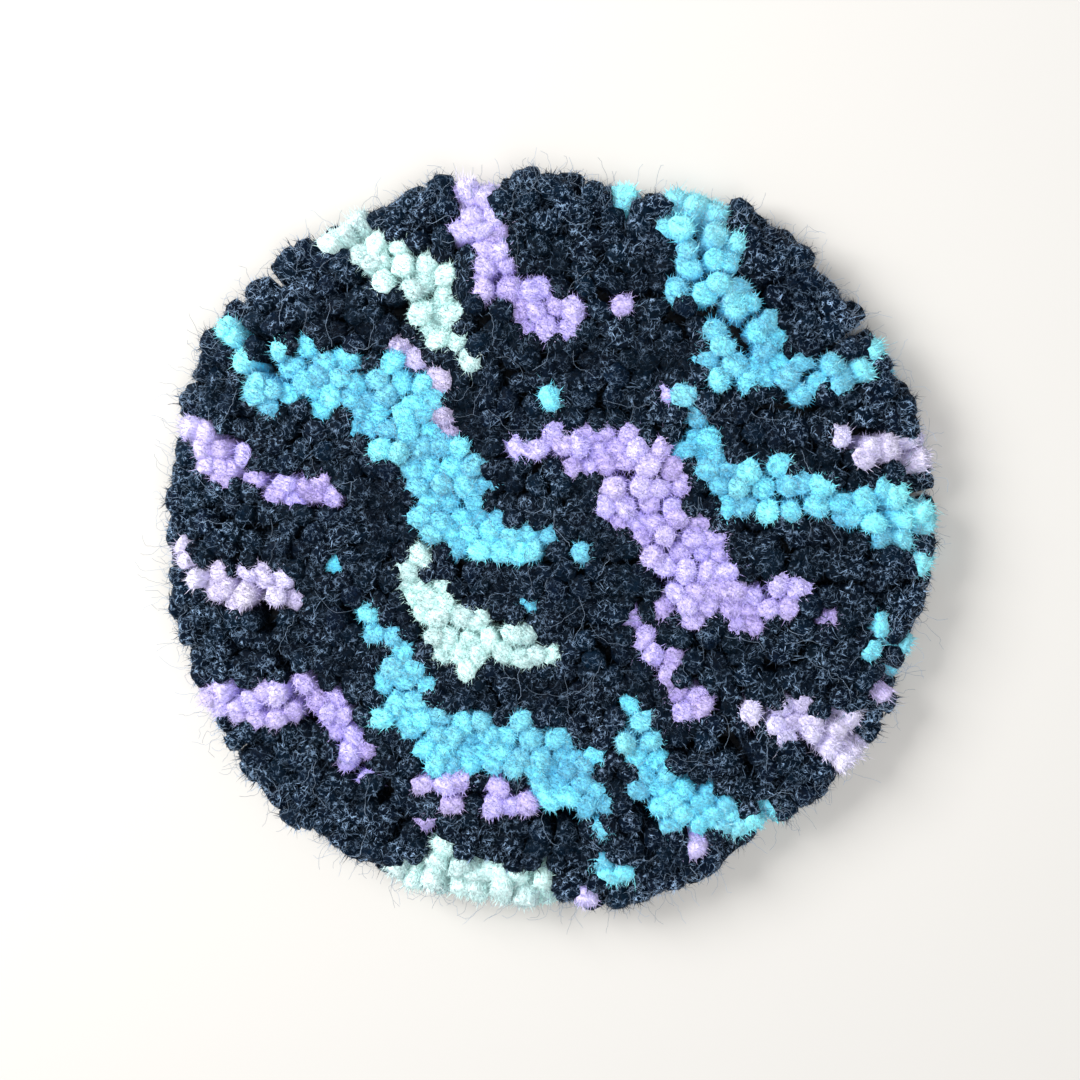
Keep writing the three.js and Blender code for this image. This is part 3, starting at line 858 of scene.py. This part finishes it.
plant = plant_tree()
ends_of = planned_pile()
for yarn in YARNS:
    material = acrylic_yarn(yarn)
    ends = sorted(ends_of[yarn["yarn"]], key=lambda end: math.atan2(end["place"][1], end["place"][0]))
    for number in range(yarn["pieces"]):
        share = ends[number * len(ends) // yarn["pieces"]:(number + 1) * len(ends) // yarn["pieces"]]
        name = f"pile_{yarn['yarn']}" + (f"_{number + 1}" if yarn["pieces"] > 1 else "")
        piece = shaped(point_mesh(name, share), plant, {
            "Yarn ends": yarn_ends,
            "Length": YARN_LENGTH,
            "Floor": FLOOR_CLEARANCE,
            "Material": material,
        })
        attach(piece, "root")
        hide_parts("pile")
for end in list(yarn_ends.objects):
    bpy.data.objects.remove(end)

# Stray fibres
# Single long acrylic fibres that have worked loose. They lie curled over the pile and stick out past its rim.
# They are bowed curves with a three-sided section, thicker than real fibres, which would not show.
STRAY_RADIUS = 0.042 * MM
STRAY_WAVER = 3.5 * MM
STRAY_WAVER_LENGTH = 3.2 * MM
STRAY_CEILING = 19.7 * MM  # no fibre rises above this
PILE_TOP = 17 * MM  # the mean height of the cut ends above the table
RIM_REACH = 97 * MM  # mean reach of the yarn ends from the middle
SHOULDER = 22 * MM  # how far in from there the pile starts to drop
SHOULDER_DROP = 9 * MM
STRAYS_ON_TOP = 150
STRAYS_AT_RIM = 640

# The least and the most of each measure, for fibres on top and for those at the rim. climb is in degrees, the
# others in mm. arch is how far a fibre bows up, and inside is how far from the rug's edge it is rooted.
TOP_LENGTH = (5, 14)
TOP_CLIMB = (-2, 8)
TOP_ARCH = (0.5, 2.5)
TOP_LEAST_INSIDE = 8
RIM_LENGTH = (3, 10)
RIM_CLIMB = (-15, 35)
RIM_ARCH = (-2, 2)
RIM_INSIDE = (2, 7)
RIM_HEADING_JITTER = 0.8  # radians
STRAY_BOW = 4.5  # how far, in mm, a fibre bows aside at most
# A pale painted glint, the colour of every stray fibre, black ones too.
STRAY_PAINTED_GLINT_COLOUR = "#8497AD"


def stray_fibres():
    """The root, heading and size of each stray fibre: its length, how far it bows aside and how far up."""
    chance = random.Random(5)
    strays = []
    for number in range(STRAYS_ON_TOP + STRAYS_AT_RIM):
        angle = chance.uniform(0, 2 * math.pi)
        reach = RIM_REACH + outline_swell(angle)
        if number < STRAYS_ON_TOP:
            radius = (reach - TOP_LEAST_INSIDE * MM) * math.sqrt(chance.random())
            heading = chance.uniform(0, 2 * math.pi)
            climb = chance.uniform(*TOP_CLIMB)
            long = chance.uniform(*TOP_LENGTH)
            arch = chance.uniform(*TOP_ARCH)
        else:
            radius = reach - chance.uniform(*RIM_INSIDE) * MM
            heading = angle + chance.gauss(0, RIM_HEADING_JITTER)
            climb = chance.uniform(*RIM_CLIMB)
            long = RIM_LENGTH[0] + (RIM_LENGTH[1] - RIM_LENGTH[0]) * chance.random() ** 2
            arch = chance.uniform(*RIM_ARCH)
        over = max(0.0, radius - (reach - SHOULDER)) / SHOULDER
        height = PILE_TOP - SHOULDER_DROP * over ** 2
        strays.append({
            "place": (radius * math.cos(angle), radius * math.sin(angle), height),
            "aim": (0.0, -math.radians(climb), heading),
            "size": (long * MM, 2 * chance.uniform(-STRAY_BOW, STRAY_BOW) * MM, 2 * arch * MM),
            "tone": chance.random(),
        })
    return strays


def stray_tree():
    """Lays a bowed fibre on each point, makes it waver, and gives it its thickness."""
    tree, given = new_tree(
        "lay the stray fibres", Geometry="Geometry", Radius="Float", Waver="Float", Floor="Float",
        Ceiling="Float", Material="Material",
    )
    bow = add(tree, "GeometryNodeCurveQuadraticBezier", {
        "Resolution": 9, "Start": (0.0, 0.0, 0.0), "Middle": (0.5, 0.5, 0.5), "End": (1.0, 0.0, 0.0),
    })
    aim = add(tree, "GeometryNodeInputNamedAttribute", {"Name": "aim"}, data_type="FLOAT_VECTOR")
    size = add(tree, "GeometryNodeInputNamedAttribute", {"Name": "size"}, data_type="FLOAT_VECTOR")
    laid = add(tree, "GeometryNodeInstanceOnPoints", {
        "Points": given["Geometry"], "Instance": bow, "Rotation": aim, "Scale": size,
    })
    bows = add(tree, "GeometryNodeRealizeInstances", {"Geometry": laid})
    place = add(tree, "GeometryNodeInputPosition")
    noise = add(tree, "ShaderNodeTexNoise", {"Vector": place, "Scale": 1 / STRAY_WAVER_LENGTH, "Detail": 1.0})
    either_way = add(tree, "ShaderNodeVectorMath", {
        0: noise.outputs["Color"], 1: (0.5, 0.5, 0.5),
    }, operation="SUBTRACT")
    waver = add(tree, "ShaderNodeVectorMath", {0: either_way, "Scale": given["Waver"]}, operation="SCALE")
    wavered = add(tree, "ShaderNodeVectorMath", {0: place, 1: waver}, operation="ADD")
    parts = add(tree, "ShaderNodeSeparateXYZ", {0: wavered}).outputs
    under_ceiling = add(tree, "ShaderNodeMath", {0: parts["Z"], 1: given["Ceiling"]}, operation="MINIMUM")
    over_floor = add(tree, "ShaderNodeMath", {0: under_ceiling, 1: given["Floor"]}, operation="MAXIMUM")
    kept = add(tree, "ShaderNodeCombineXYZ", {"X": parts["X"], "Y": parts["Y"], "Z": over_floor})
    curled = add(tree, "GeometryNodeSetPosition", {"Geometry": bows, "Position": kept})
    section = add(tree, "GeometryNodeCurvePrimitiveCircle", {"Resolution": 3, "Radius": given["Radius"]})
    thick = add(tree, "GeometryNodeCurveToMesh", {
        "Curve": curled, "Profile Curve": section, "Fill Caps": True,
    })
    smooth = add(tree, "GeometryNodeSetShadeSmooth", {"Geometry": thick})
    dyed = add(tree, "GeometryNodeSetMaterial", {"Geometry": smooth, "Material": given["Material"]})
    add(tree, "NodeGroupOutput", {0: dyed})
    return tree


def single_fibre():
    """One acrylic fibre: smooth, with a pale painted glint for its colour, so even a black one shows pale
    against the pile.
    """
    material, tree = new_material("single acrylic fibre")
    tone = add(tree, "ShaderNodeAttribute", attribute_name="tone").outputs["Fac"]
    brightness = add(tree, "ShaderNodeMapRange", {"Value": tone, "To Min": 0.45, "To Max": 1.25})
    dyed = add(tree, "ShaderNodeHueSaturation", {"Color": linear(STRAY_PAINTED_GLINT_COLOUR), "Value": brightness})
    surface = add(tree, "ShaderNodeBsdfPrincipled", {
        "Base Color": dyed, "Roughness": 0.45, "Specular IOR Level": 0.5,
    })
    add(tree, "ShaderNodeOutputMaterial", {"Surface": surface})
    return material


strays = shaped(point_mesh("stray_fibres", stray_fibres()), stray_tree(), {
    "Radius": STRAY_RADIUS,
    "Waver": STRAY_WAVER,
    "Floor": FLOOR_CLEARANCE,
    "Ceiling": STRAY_CEILING,
    "Material": single_fibre(),
})
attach(strays, "root")
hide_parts("pile")

# Floor
# A plain pale table top, which is not part of the rug.
FLOOR_COLOUR = "#C9C6C1"
FLOOR_HALF = 1.6

floor = new_mesh_object("floor", [
    (-FLOOR_HALF, -FLOOR_HALF, 0), (FLOOR_HALF, -FLOOR_HALF, 0),
    (FLOOR_HALF, FLOOR_HALF, 0), (-FLOOR_HALF, FLOOR_HALF, 0),
], [(0, 1, 2, 3)])
floor_material, floor_tree = new_material("pale floor")
floor_surface = add(floor_tree, "ShaderNodeBsdfPrincipled", {
    "Base Color": linear(FLOOR_COLOUR), "Roughness": 0.8, "Specular IOR Level": 0.2,
})
add(floor_tree, "ShaderNodeOutputMaterial", {"Surface": floor_surface})
floor.data.materials.append(floor_material)

# Lights
# A large soft main light from the upper left, a weaker one from above, and an even pale surround.
LIGHTS = [
    {"name": "main", "place": (-0.62, 0.34, 0.52), "size": 0.45, "power": 11.5},
    {"name": "fill", "place": (0.25, -0.15, 0.95), "size": 0.8, "power": 6.5},
]
SURROUND_COLOUR = "#E8ECF2"
SURROUND_STRENGTH = 0.5

for light in LIGHTS:
    lamp = bpy.data.lights.new(light["name"], "AREA")
    lamp.size = light["size"]
    lamp.energy = light["power"]
    holder = bpy.data.objects.new(light["name"], lamp)
    holder.location = light["place"]
    holder.rotation_euler = Vector(light["place"]).to_track_quat("Z", "Y").to_euler()
    bpy.context.scene.collection.objects.link(holder)
surround = bpy.data.worlds.new("surround")
surround.use_nodes = True
background = surround.node_tree.nodes["Background"].inputs
background["Color"].default_value = linear(SURROUND_COLOUR)
background["Strength"].default_value = SURROUND_STRENGTH
bpy.context.scene.world = surround
bpy.context.scene.view_settings.view_transform = "Standard"
